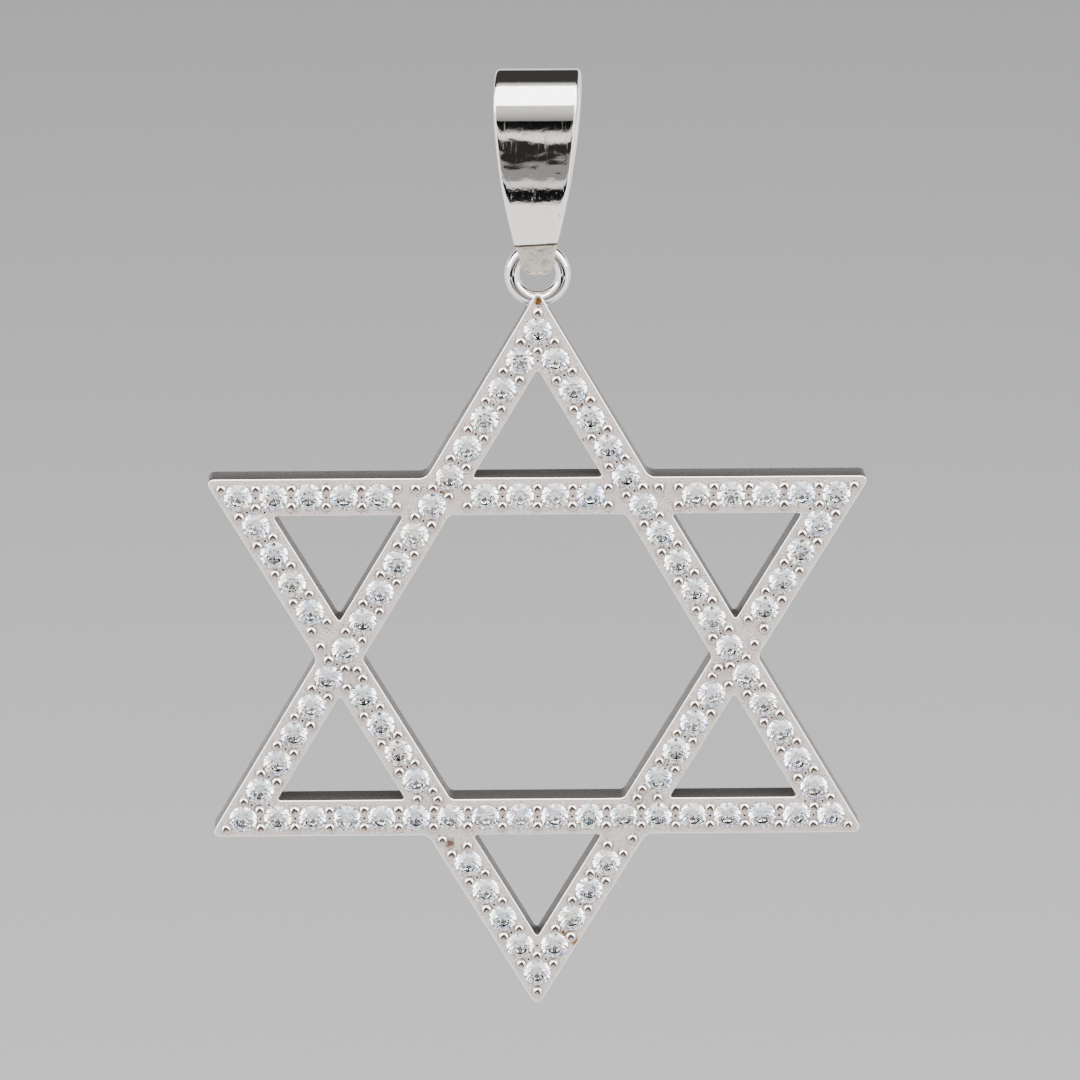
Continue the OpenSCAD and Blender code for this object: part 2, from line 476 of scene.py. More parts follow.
@dataclass(frozen=True)
class SilverFinish:
    """One finish of the silver. Sizes are in millimetres. What is called hollow holds in the
    grain's hollows, and what is called more is added to the roughness there."""

    name: str
    colour: Colour
    hollow_colour: Colour
    roughness: float
    hollow_roughness: float
    grain_size: float
    grain_depth: float
    pits: float = 0.0
    scratch_size: float = 1 / 9
    scratch_depth: float = 0.0
    scratch_more: float = 0.12
    metallic: float = 1.0
    stains: tuple[Stain, ...] = ()
    stain_more: float = 0.3

    def material(self, effects: Effects, centre: Vector = Vector()) -> bpy.types.Material:
        """Builds the material.

        Args:
            effects: Shared node groups.
            centre: The point that the stains are placed from, in millimetres.

        Returns:
            The material.
        """
        made = bpy.data.materials.new(self.name)
        made.use_nodes = True
        made.node_tree.nodes.clear()
        graph = Graph(made.node_tree)
        place = graph.add("ShaderNodeTexCoord").outputs["Object"]
        grain = graph.add("ShaderNodeGroup", {
            "Place": place, "Scale": 1 / (self.grain_size * MM), "Pits": self.pits},
            node_tree=effects.grain)
        colour = graph.blend(grain.outputs["Hollows"], self.colour, self.hollow_colour)
        roughness = graph.maths("MULTIPLY_ADD", grain.outputs["Hollows"],
                                self.hollow_roughness - self.roughness, self.roughness)
        for stain in self.stains:
            right, up = stain.place
            spot = graph.add("ShaderNodeGroup", {
                "Place": place, "Centre": (centre + Vector((right, 0, up))) * MM,
                "Radius": stain.radius * MM}, node_tree=effects.stain)
            colour = graph.blend(spot.outputs["Mask"], colour, stain.colour)
            roughness = graph.maths("MULTIPLY_ADD", spot.outputs["Mask"], self.stain_more,
                                    roughness, clamp=True)
        bump = graph.add("ShaderNodeBump", {"Height": grain.outputs["Height"], "Strength": 1.0,
                                            "Distance": self.grain_depth * MM})
        if self.scratch_depth:
            hair = graph.add("ShaderNodeGroup", {
                "Place": place, "Scale": 1 / (self.scratch_size * MM)},
                node_tree=effects.scratches)
            bump = graph.add("ShaderNodeBump", {
                "Height": hair.outputs["Height"], "Strength": 1.0,
                "Distance": self.scratch_depth * MM, "Normal": bump.outputs["Normal"]})
            roughness = graph.maths("MULTIPLY_ADD", hair.outputs["Lines"], self.scratch_more,
                                    roughness)
        shader = graph.add("ShaderNodeBsdfPrincipled", {
            "Base Color": colour, "Roughness": roughness, "Metallic": self.metallic,
            "Normal": bump.outputs["Normal"]})
        graph.add("ShaderNodeOutputMaterial", {"Surface": shader.outputs[0]})
        return made


@dataclass(frozen=True)
class StoneFinish:
    """Clear cubic zirconia. A tint stands for the flashes of colour in a facet, and a faint haze
    of a slightly deeper tint lies in it."""

    name: str
    tint: Colour
    index: float = 2.16
    roughness: float = 0.0
    haze_scale: float = 900.0
    haze_depth: float = 0.96
    haze_edge: tuple[float, float] = (0.35, 0.65)

    def material(self) -> bpy.types.Material:
        """Builds the material.

        Returns:
            The material.
        """
        made = bpy.data.materials.new(self.name)
        made.use_nodes = True
        made.node_tree.nodes.clear()
        graph = Graph(made.node_tree)
        place = graph.add("ShaderNodeTexCoord").outputs["Object"]
        haze = graph.add("ShaderNodeTexNoise", {"Vector": place, "Scale": self.haze_scale,
                                                "Detail": 2.0})
        colour = graph.blend(graph.ramp(haze.outputs["Fac"], *self.haze_edge), self.tint,
                             tuple(self.haze_depth * c for c in self.tint))
        shader = graph.add("ShaderNodeBsdfPrincipled", {
            "Base Color": colour, "Roughness": self.roughness, "IOR": self.index,
            "Metallic": 0.0, "Transmission Weight": 1.0})
        graph.add("ShaderNodeOutputMaterial", {"Surface": shader.outputs[0]})
        return made


# The star


@dataclass(frozen=True)
class StarPlan:
    """Sizes of the star in millimetres, and the places of what repeats on it."""

    reach: float = 20.5
    bar_w: float = 2.1
    bar_t: float = 1.4
    stone_d: float = 1.5
    stone_gap: float = 0.36
    seat_gap: float = 0.05
    bead_d: float = 0.46
    bead_gap: float = 0.03
    ring_d: float = 3.5
    ring_wire: float = 0.8
    ring_sink: float = 0.9
    lone_outer: float = 0.62
    lone_inner: float = 0.53
    slack: float = 0.01
    sides: int = 3

    @cached_property
    def centre_z(self) -> float:
        """Height of the star's centre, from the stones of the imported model."""
        low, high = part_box("stones_upright")
        return (low.z + high.z) / 2 / MM - self.bar_line / 2

    @property
    def front(self) -> float:
        """Distance from the middle of the bars to their front."""
        return self.bar_t / 2

    @property
    def bar_line(self) -> float:
        """Distance from the star's centre to a bar's centre line."""
        return (self.reach - self.bar_w) / 2

    @property
    def side_length(self) -> float:
        """Length of a triangle's centre line."""
        return 2 * math.sqrt(3) * self.bar_line

    @property
    def steps(self) -> int:
        """Number of stone intervals along one side."""
        return math.floor(self.side_length / (self.stone_d + self.stone_gap))

    @property
    def pitch(self) -> float:
        """Distance between two stones of a row."""
        return self.side_length / self.steps

    @property
    def seat_r(self) -> float:
        """Radius of a stone's seat."""
        return self.stone_d / 2 + self.seat_gap

    @property
    def bead_reach(self) -> float:
        """Distance from a stone's centre to the beads that hold it."""
        return self.seat_r + self.bead_d / 2 + self.bead_gap

    @property
    def bead_off(self) -> float:
        """Distance of a bead from the centre line."""
        return math.sqrt(self.bead_reach ** 2 - (self.pitch / 2) ** 2)

    def on_side(self, turn: Turn, side: int, step: float, off: float = 0.0) -> Vector:
        """A point beside the centre line of one side.

        Args:
            turn: Which triangle.
            side: 0 to 2.
            step: Steps along the side from a tip.
            off: Distance from the centre line, outwards.

        Returns:
            The point, right and up from the star's centre, in millimetres.
        """
        point = Vector((step * self.pitch - self.side_length / 2, -self.bar_line - off))
        point.rotate(Matrix.Rotation(math.radians(turn.value + side * 360 / self.sides), 2))
        return point

    def tip(self, turn: Turn, index: int, reach: float) -> Vector:
        """A point on the line from the star's centre to one tip.

        Args:
            turn: Which triangle.
            index: 0 to 2.
            reach: Distance from the centre.

        Returns:
            The point, right and up from the star's centre, in millimetres.
        """
        point = Vector((0.0, reach))
        point.rotate(Matrix.Rotation(math.radians(turn.value + index * 360 / self.sides), 2))
        return point

    def stones(self, turn: Turn) -> list[Vector]:
        """Centres of one triangle's stones. The inverted rows leave out those that would touch
        the upright ones.

        Args:
            turn: Which triangle.

        Returns:
            The points, right and up from the star's centre, in millimetres.
        """
        row = [self.on_side(turn, side, k) for side in range(self.sides) for k in range(self.steps)]
        if turn is Turn.UPRIGHT:
            return row
        taken = self.stones(Turn.UPRIGHT)
        clear = self.stone_d + self.stone_gap
        return [p for p in row if min((p - q).length for q in taken) >= clear]

    def beads(self) -> list[Vector]:
        """Centres of all the beads: beyond and before each tip's stone, on both sides between
        two stones of a row, and a lone one on either side of a crossing.

        Returns:
            The points, right and up from the star's centre, in millimetres.
        """
        stones = [p for turn in Turn for p in self.stones(turn)]

        def near(point: Vector) -> float:
            """Distance from a point to the nearest stone's centre."""
            return min((point - stone).length for stone in stones)

        found = [self.tip(turn, i, 2 * self.bar_line + d) for turn in Turn
                 for i in range(self.sides) for d in (self.bead_reach, -self.bead_reach)]
        for turn in Turn:
            for side in range(self.sides):
                for k in range(self.steps):
                    ends = [self.on_side(turn, side, k + end) for end in (0, 1)]
                    if min(near(end) for end in ends) > self.slack:
                        continue
                    found.append(self.on_side(turn, side, k + 0.5, self.bead_off))
                    if 0 < k < self.steps - 1:
                        found.append(self.on_side(turn, side, k + 0.5, -self.bead_off))
        crossing = self.steps / self.sides
        for side in range(self.sides):
            lone = [(crossing - self.lone_outer, self.bead_off)]
            if side:
                lone.append((crossing + self.lone_inner, -self.bead_off))
            for step, off in lone:
                found += [self.on_side(Turn.INVERTED, side, s, off) for s in (step, self.steps - step)]
        return [p for p in found if near(p) >= self.bead_reach - self.slack]

    def pits(self) -> list[Vector]:
        """Small pits midway between neighbouring stones of a row."""
        stones = [p for turn in Turn for p in self.stones(turn)]
        return [(p + q) / 2 for i, p in enumerate(stones) for q in stones[:i]
                if (p - q).length < self.pitch * 1.01]

    def place(self, point: Vector, height: float = 0.0) -> Vector:
        """Brings a point of the star to the row frame.

        Args:
            point: Right and up from the star's centre, in millimetres.
            height: Distance from the middle of the bars towards the viewer.

        Returns:
            The point in millimetres.
        """
        return Vector((point.x, -height, self.centre_z + point.y))

    def standing(self) -> Matrix:
        """The matrix that stands up what is modelled flat about the star's centre."""
        return Matrix.Translation(self.place(Vector((0, 0)))) @ Matrix.Rotation(math.pi / 2, 4, "X")


@dataclass
class StarBars:
    """The cast body of the star. It is modelled lying flat, front upwards. Sizes are in
    millimetres, and the spreads are how far the cast beads differ from one another."""

    plan: StarPlan
    tip_round: float = 0.35
    tip_faces: int = 7
    crotch_round: float = 0.6
    crotch_faces: int = 5
    hexagon_round: float = 0.4
    notch_round: float = 0.14
    gap_faces: int = 4
    edge_bevel: float = 0.085
    edge_faces: int = 3
    gap_bevel: float = 0.05
    gap_flare: tuple[tuple[float, float], ...] = ((0.6, 0.25), (0.4, 0.75))
    back_bevel: float = 0.07
    back_faces: int = 2
    rim_gap: float = 0.012
    ledge: float = 0.1
    cone_depth: float = 0.33
    seat_hole: float = 0.4
    seat_sides: int = 24
    pit_r: float = 0.085
    pit_depth: float = 0.4
    pit_sides: int = 8
    bead_grow: float = 1.5
    bead_faces: tuple[int, int] = (14, 8)
    bead_shift: float = 0.02
    bead_heights: tuple[float, float] = (-0.02, 0.01)
    bead_turn: float = 0.25
    bead_sizes: tuple[float, float] = (0.94, 1.06)
    mark_r: float = 0.45
    mark_depth: float = 0.18
    tip_from: float = 0.5
    tip_stretch: float = 0.3
    tip_slope: float = 0.5
    smooth_angle: float = 42.0
    over: float = 0.2
    seed: int = 7

    def prism(self, name: str, sides: int, radius: float, low: float, high: float,
              place: Vector = Vector((0, 0)), turn: float = 0.0) -> bpy.types.Object:
        """An upright prism.

        Args:
            name: Name of the object.
            sides: Number of its sides.
            radius: Distance from its axis to its corners.
            low: Height of its foot.
            high: Height of its top.
            place: Where its axis stands.
            turn: Azimuth of one corner from the +Y direction, in radians.

        Returns:
            The object.
        """
        bpy.ops.mesh.primitive_cylinder_add(
            vertices=sides, radius=radius, depth=(high - low), rotation=(0, 0, turn),
            location=Vector((place.x, place.y, (low + high) / 2)))
        return take(name)

    @staticmethod
    def round_uprights(piece: bpy.types.Object, radius: float, turned: float, segments: int,
                       reach: float | None = None) -> None:
        """Rounds upright edges.

        Args:
            piece: Object to shape.
            radius: Radius of the rounding.
            turned: Angle between the two sides' directions at the edge, in degrees.
            segments: Number of faces across it.
            reach: Distance of the edges from the axis, or None for all of them.
        """
        def chosen(edge: bmesh.types.BMEdge) -> bool:
            """Whether an edge is upright and stands at the wanted distance from the axis."""
            first, second = (v.co for v in edge.verts)
            upright = (first.xy - second.xy).length < TOUCH
            return upright and (reach is None or abs(first.xy.length - reach) < NEAR)

        offset = radius * math.tan(math.radians(turned / 2))
        with editing(piece, "EDGE", chosen):
            bpy.ops.mesh.bevel(offset_type="ABSOLUTE", offset=offset, segments=segments)

    def outline(self) -> bpy.types.Object:
        """The star's outside: a prism of twelve sides with every second corner drawn in.

        Returns:
            The object.
        """
        plan = self.plan
        tips = 2 * plan.sides
        inwards = 1 / math.sqrt(3)
        star = self.prism("star_bars", 2 * tips, plan.reach, -plan.front, plan.front)
        with editing(star, "VERT", lambda v: self.between_tips(v.co)):
            bpy.ops.transform.resize(value=(inwards, inwards, 1), center_override=(0, 0, 0))
        self.round_uprights(star, self.tip_round, 120, self.tip_faces, plan.reach)
        self.round_uprights(star, self.crotch_round, 60, self.crotch_faces, plan.reach * inwards)
        for level, width, segments in ((plan.front, self.edge_bevel, self.edge_faces),
                                       (-plan.front, self.back_bevel, self.back_faces)):
            with editing(star, "EDGE",
                         lambda e, z=level: all(abs(v.co.z - z) < TOUCH for v in e.verts)):
                bpy.ops.mesh.bevel(offset_type="OFFSET", offset=width, segments=segments)
        return star

    @staticmethod
    def between_tips(place: Vector) -> bool:
        """Whether a corner of the blank lies between two tips."""
        sixths = math.degrees(math.atan2(place.x, place.y)) / 60
        return abs(sixths - round(sixths)) > 0.25

    def gap(self, sides: int, radius: float, corner: float, place: Vector,
            turn: float) -> bpy.types.Object:
        """What is cut for one gap between the bars, flared at the front for the bevel.

        Args:
            sides: Number of sides of the gap.
            radius: Distance from its middle to its corners.
            corner: Radius that rounds its corners.
            place: Its middle.
            turn: Azimuth of one corner, in radians.

        Returns:
            The object.
        """
        plan = self.plan
        cutter = self.prism("gap", sides, radius, -plan.bar_t, plan.front - self.gap_bevel,
                            turn=turn)
        self.round_uprights(cutter, corner, 360 / sides, self.gap_faces)
        inradius = radius * math.cos(math.pi / sides)
        with editing(cutter, "FACE", lambda f: f.normal.z > 0.9):
            for height, grow in self.gap_flare:
                rise, out = height * self.gap_bevel, grow * self.gap_bevel
                self.pull((0, 0, rise), 1 + out / inradius)
            self.pull((0, 0, self.over), 1.0)
        cutter.data.transform(Matrix.Translation(Vector((place.x, place.y, 0))))
        return cutter

    def gaps(self) -> list[bpy.types.Object]:
        """What is cut for the hexagon and for the six small triangles.

        Returns:
            One object for each gap.
        """
        plan = self.plan
        hexagon = (plan.reach - 2 * plan.bar_w) / math.sqrt(3)
        cutters = [self.gap(6, hexagon, self.hexagon_round, Vector((0, 0)), math.radians(30))]
        apex, base = plan.reach - 2 * plan.bar_w, plan.reach / 2
        radius = (apex - base) * 2 / 3
        for turn in Turn:
            for index in range(plan.sides):
                azimuth = math.radians(turn.value + index * 360 / plan.sides)
                middle = plan.tip(turn, index, apex - radius)
                cutters.append(self.gap(3, radius, self.notch_round, middle, azimuth))
        return cutters

    def seat_cutter(self) -> bpy.types.Object:
        """What is cut for one stone: a wall, a cone and a hole to the back.

        Returns:
            The object, with the front of the bars at height 0.
        """
        plan = self.plan
        radius = plan.stone_d / 2 + self.rim_gap
        cutter = self.prism("seat", self.seat_sides, radius, -self.ledge, self.over)
        with editing(cutter, "FACE", lambda f: f.normal.z < -0.9):
            self.pull((0, 0, -self.cone_depth), self.seat_hole / radius)
            self.pull((0, 0, -2 * plan.bar_t), 1.0)
        return cutter

    @staticmethod
    def pull(move: tuple[float, float, float], size: float) -> None:
        """Extrudes the selected faces and resizes them about the axis.

        Args:
            move: How far they move, in millimetres.
            size: Their new size as a share of the old one.
        """
        bpy.ops.mesh.extrude_region_move(TRANSFORM_OT_translate={"value": Vector(move)})
        bpy.ops.transform.resize(value=(size, size, 1), center_override=(0, 0, 0))

    @staticmethod
    def upright(point: Vector, height: float, turn: float = 0.0, size: float = 1.0) -> Matrix:
        """Where a copy goes on the star while it lies flat.

        Args:
            point: Right and up from the star's centre.
            height: Height above the middle of the bars.
            turn: Turn about its own axis, in radians.
            size: Scale of the copy.

        Returns:
            The matrix.
        """
        place = Matrix.Translation(Vector((point.x, point.y, height)))
        return place @ Matrix.Rotation(turn, 4, "Z") @ Matrix.Scale(size, 4)

    def bead_places(self) -> list[Matrix]:
        """Where the beads go, with the small differences in size and height of a cast.

        Returns:
            One matrix for each bead.
        """
        plan, chance = self.plan, random.Random(self.seed)
        aside = (-self.bead_shift, self.bead_shift)
        places = []
        for point in plan.beads():
            shift = Vector((chance.uniform(*aside), chance.uniform(*aside)))
            height = plan.front + chance.uniform(*self.bead_heights)
            turn = chance.uniform(-self.bead_turn, self.bead_turn)
            size = chance.uniform(*self.bead_sizes)
            places.append(self.upright(point + shift, height, turn, size))
        return places

    @property
    def bead_r(self) -> float:
        """Radius of a bead as the setter's tool leaves it."""
        return self.bead_grow * self.plan.bead_d / 2

    def bead(self) -> bpy.types.Object:
        """One bead: a ball with the three-sided mark that the setter's tool leaves in its top.

        Returns:
            The object.
        """
        round_about, up_and_down = self.bead_faces
        bpy.ops.mesh.primitive_uv_sphere_add(segments=round_about, ring_count=up_and_down,
                                             radius=self.bead_r)
        ball = take("bead")
        bpy.ops.mesh.primitive_cone_add(
            vertices=3, radius1=0.0, radius2=2 * self.mark_r, depth=2 * self.mark_depth,
            location=(0, 0, self.bead_r))
        combine(ball, take("mark"), "DIFFERENCE")
        return ball

    def pit(self) -> bpy.types.Object:
        """What is cut for one small pit.

        Returns:
            The object.
        """
        bpy.ops.mesh.primitive_cone_add(vertices=self.pit_sides, radius1=self.pit_r / 2,
                                        radius2=self.pit_r, depth=self.pit_depth)
        return take("pit")

    def stretch_tip(self, bars: bpy.types.Object) -> None:
        """Draws the tip that carries the ring out to its point, less and less towards the back,
        where the solder covers it.

        Args:
            bars: The bars, lying flat.
        """
        plan = self.plan
        for vertex in bars.data.vertices:
            above = vertex.co.y - plan.reach + self.tip_round
            share = min(max(above / self.tip_from + 1, 0.0), 1.0)
            behind = (plan.front - vertex.co.z) / (2 * plan.front)
            vertex.co.y += (self.tip_stretch - self.tip_slope * behind) * share * share

    def build(self) -> bpy.types.Object:
        """Models the whole body.

        Returns:
            The object, standing in its place.
        """
        plan = self.plan
        bars = self.outline()
        stones = [p for turn in Turn for p in plan.stones(turn)]
        cutters = self.gaps()
        for cutter, points, name in ((self.seat_cutter, stones, "seats"),
                                     (self.pit, plan.pits(), "pits")):
            cutters.append(repeat(cutter(), [self.upright(p, plan.front) for p in points], name))
        pick(*cutters)
        bpy.ops.object.join()
        combine(bars, bpy.context.active_object, "DIFFERENCE")
        pick(bars, repeat(self.bead(), self.bead_places(), "beads"))
        bpy.ops.object.join()
        self.stretch_tip(bars)
        bars.data.transform(plan.standing())
        smoothed(bars, self.smooth_angle, Vector((0, 1, 0)))
        return bars


@dataclass
class SolderedRing:
    """The ring at the star's top tip, with the solder that holds it. Sizes are in millimetres.
    As far as the solder's reach, the star's walls keep bright silver instead of the painted dark
    reflection of the other walls."""

    plan: StarPlan
    wire_faces: tuple[int, int] = (96, 24)
    solder_d: float = 1.25
    solder_wide: float = 1.15
    solder_inside: float = 0.05
    solder_reach: float = 1.3
    solder_share: float = 0.56
    skin: float = 0.01
    lumps: float = 0.05
    lump_size: float = 0.3
    wear: float = 0.05
    smooth_angle: float = 50.0

    @property
    def up(self) -> float:
        """Height of the ring's centre above the star's centre."""
        return self.plan.reach - self.plan.ring_sink + self.plan.ring_d / 2

    @property
    def bore_r(self) -> float:
        """Inner radius of the ring."""
        return self.plan.ring_d / 2 - self.plan.ring_wire

    @cached_property
    def solder_centre(self) -> Vector:
        """Centre of the solder in the row frame."""
        down = self.bore_r + self.solder_inside + self.solder_d / 2
        return self.plan.place(Vector((0, self.up - down)))

    def wire(self) -> bpy.types.Object:
        """The closed ring of round wire, worn a little flat where the bail rests in it.

        Returns:
            The object.
        """
        plan = self.plan
        centre = plan.place(Vector((0, self.up)))
        along, around = self.wire_faces
        bpy.ops.mesh.primitive_torus_add(
            major_segments=along, minor_segments=around, location=centre,
            rotation=(math.pi / 2, 0, 0), major_radius=(plan.ring_d - plan.ring_wire) / 2,
            minor_radius=plan.ring_wire / 2)
        ring = take("ring")
        worn = self.bore_r + self.wear
        for vertex in ring.data.vertices:
            arm = vertex.co - centre
            flat = Vector((arm.x, 0, arm.z))
            if flat.length < worn and flat.z > 0:
                vertex.co += flat.normalized() * (worn - flat.length) * (flat.normalized().z ** 2)
        return ring

    def solder(self) -> bpy.types.Object:
        """The lumpy solder between ring and tip.

        Returns:
            The object.
        """
        radius = self.solder_d / 2
        bpy.ops.mesh.primitive_ico_sphere_add(subdivisions=5, radius=radius)
        blob = take("solder")
        centre = self.solder_centre
        for vertex in blob.data.vertices:
            out = vertex.co.normalized()
            lump = noise.noise(vertex.co / self.lump_size) * self.lumps
            vertex.co += out * (min(lump, 0.0) - self.skin)
            vertex.co.x *= self.solder_wide / self.solder_d
            vertex.co += centre
        return blob

    def build(self) -> bpy.types.Object:
        """Models ring and solder as one body.

        Returns:
            The object.
        """
        ring = self.wire()
        combine(ring, self.solder(), "UNION")
        ring.name = ring.data.name = "soldered_ring"
        smoothed(ring, self.smooth_angle)
        return ring


# The stones


@dataclass
class Brilliant:
    """One round brilliant. Sizes are in millimetres, heights are above the girdle's lower edge."""

    diameter: float = 1.5
    table_share: float = 0.56
    crown_h: float = 0.24
    girdle_h: float = 0.05
    pavilion_h: float = 0.62
    star_share: float = 0.5
    lower_share: float = 0.25
    mains: int = 8

    def grind(self, stone: bpy.types.Object, radius: float, height: float, slope: float,
              turns: list[float], side: int) -> None:
        """Cuts a tier of equal facets.

        Args:
            stone: The stone.
            radius: Distance from the axis of a point on each facet.
            height: Height of that point.
            slope: Angle between facet and girdle plane, in radians.
            turns: Azimuth of each facet.
            side: 1 for the crown, -1 for the pavilion.
        """
        for turn in turns:
            out = Vector((math.cos(turn), math.sin(turn), 0))
            normal = out * math.sin(slope) + Vector((0, 0, side * math.cos(slope)))
            point = out * radius + Vector((0, 0, height))
            bpy.ops.mesh.select_all(action="SELECT")
            bpy.ops.mesh.bisect(plane_co=point, plane_no=normal, use_fill=True, clear_outer=True)

    def cut(self) -> bpy.types.Object:
        """Cuts the stone from a blank: table, mains, stars and the facets round the girdle.

        Returns:
            The object, its table towards +Z.
        """
        radius = self.diameter / 2
        table = self.table_share * radius
        top = self.girdle_h + self.crown_h
        half = math.pi / self.mains
        chord = radius * math.cos(half / 2)
        main_slope = self.crown_h / (radius - table)
        flat = table * math.cos(half)
        apex = flat + self.star_share * (radius - flat)
        apex_z = self.girdle_h + (radius - apex * math.cos(half)) * main_slope
        deep_slope = self.pavilion_h / radius
        low = self.lower_share * radius
        low_z = low * math.cos(half) * deep_slope - self.pavilion_h
        on_main = [2 * half * i for i in range(self.mains)]
        between = [turn + half for turn in on_main]
        halves = [turn + side * half / 2 for turn in on_main for side in (-1, 1)]
        bpy.ops.mesh.primitive_cylinder_add(vertices=2 * self.mains, radius=radius,
                                            depth=2 * radius, rotation=(0, 0, half))
        stone = take("stone")
        with editing(stone, "VERT", lambda v: True):
            self.grind(stone, 0, top, 0, [0], 1)
            self.grind(stone, table, top, math.atan(main_slope), on_main, 1)
            star = math.atan((top - apex_z) / (apex - flat))
            self.grind(stone, flat, top, star, between, 1)
            rise = (apex_z - self.girdle_h) / (chord - apex * math.cos(half / 2))
            self.grind(stone, chord, self.girdle_h, math.atan(rise), halves, 1)
            self.grind(stone, 0, -self.pavilion_h, math.atan(deep_slope), on_main, -1)
            fall = -low_z / (chord - low * math.cos(half / 2))
            self.grind(stone, chord, 0, math.atan(fall), halves, -1)
        return stone


@dataclass
class StoneRows:
    """The stones of one triangle. Sizes are in millimetres, the tilt is in degrees. A share of
    the facets under the flash area shows a flash of colour."""

    bars: StarBars
    turn: Turn
    seed: int
    rise: float = -0.02
    sink: float = 0.03
    tilt: float = 6.0
    flash_share: float = 0.2
    flash_area: float = 0.3

    def places(self) -> list[Matrix]:
        """Where the stones sit, each turned at random and a little tilted.

        Returns:
            One matrix for each stone.
        """
        chance = random.Random(self.seed)
        plan = self.bars.plan
        places = []
        for point in plan.stones(self.turn):
            axis = Vector((chance.uniform(-1, 1), chance.uniform(-1, 1), 0)).normalized()
            lean = Matrix.Rotation(math.radians(chance.uniform(0, self.tilt)), 4, axis)
            height = plan.front + self.rise - chance.uniform(0, self.sink)
            place = self.bars.upright(point, height, chance.uniform(0, math.tau))
            places.append(plan.standing() @ place @ lean)
        return places

    def build(self, name: str) -> bpy.types.Object:
        """Cuts one stone and copies it to every seat.

        Args:
            name: Name of the piece.

        Returns:
            The object.
        """
        return repeat(Brilliant().cut(), self.places(), name)

    def dress(self, stones: bpy.types.Object, finishes: list[bpy.types.Material]) -> None:
        """Gives some facets a flash of colour.

        Args:
            stones: The joined stones.
            finishes: The clear finish, then the flashes.
        """
        chance = random.Random(self.seed + 1)
        for finish in finishes:
            stones.data.materials.append(finish)
        for face in stones.data.polygons:
            face.use_smooth = False
            if face.area < self.flash_area and chance.random() < self.flash_share:
                face.material_index = chance.randrange(1, len(finishes))


# The bail


@dataclass(frozen=True)
class Bend:
    """A soft bend across the front leaf: its height and length in millimetres, and by how many
    degrees the leaf turns upwards there."""

    height: float
    length: float
    angle: float


@dataclass(frozen=True)
class Dent:
    """A small dent in the front leaf: its place, its size and its depth, in millimetres."""

    place: tuple[float, float]
    size: tuple[float, float]
    depth: float


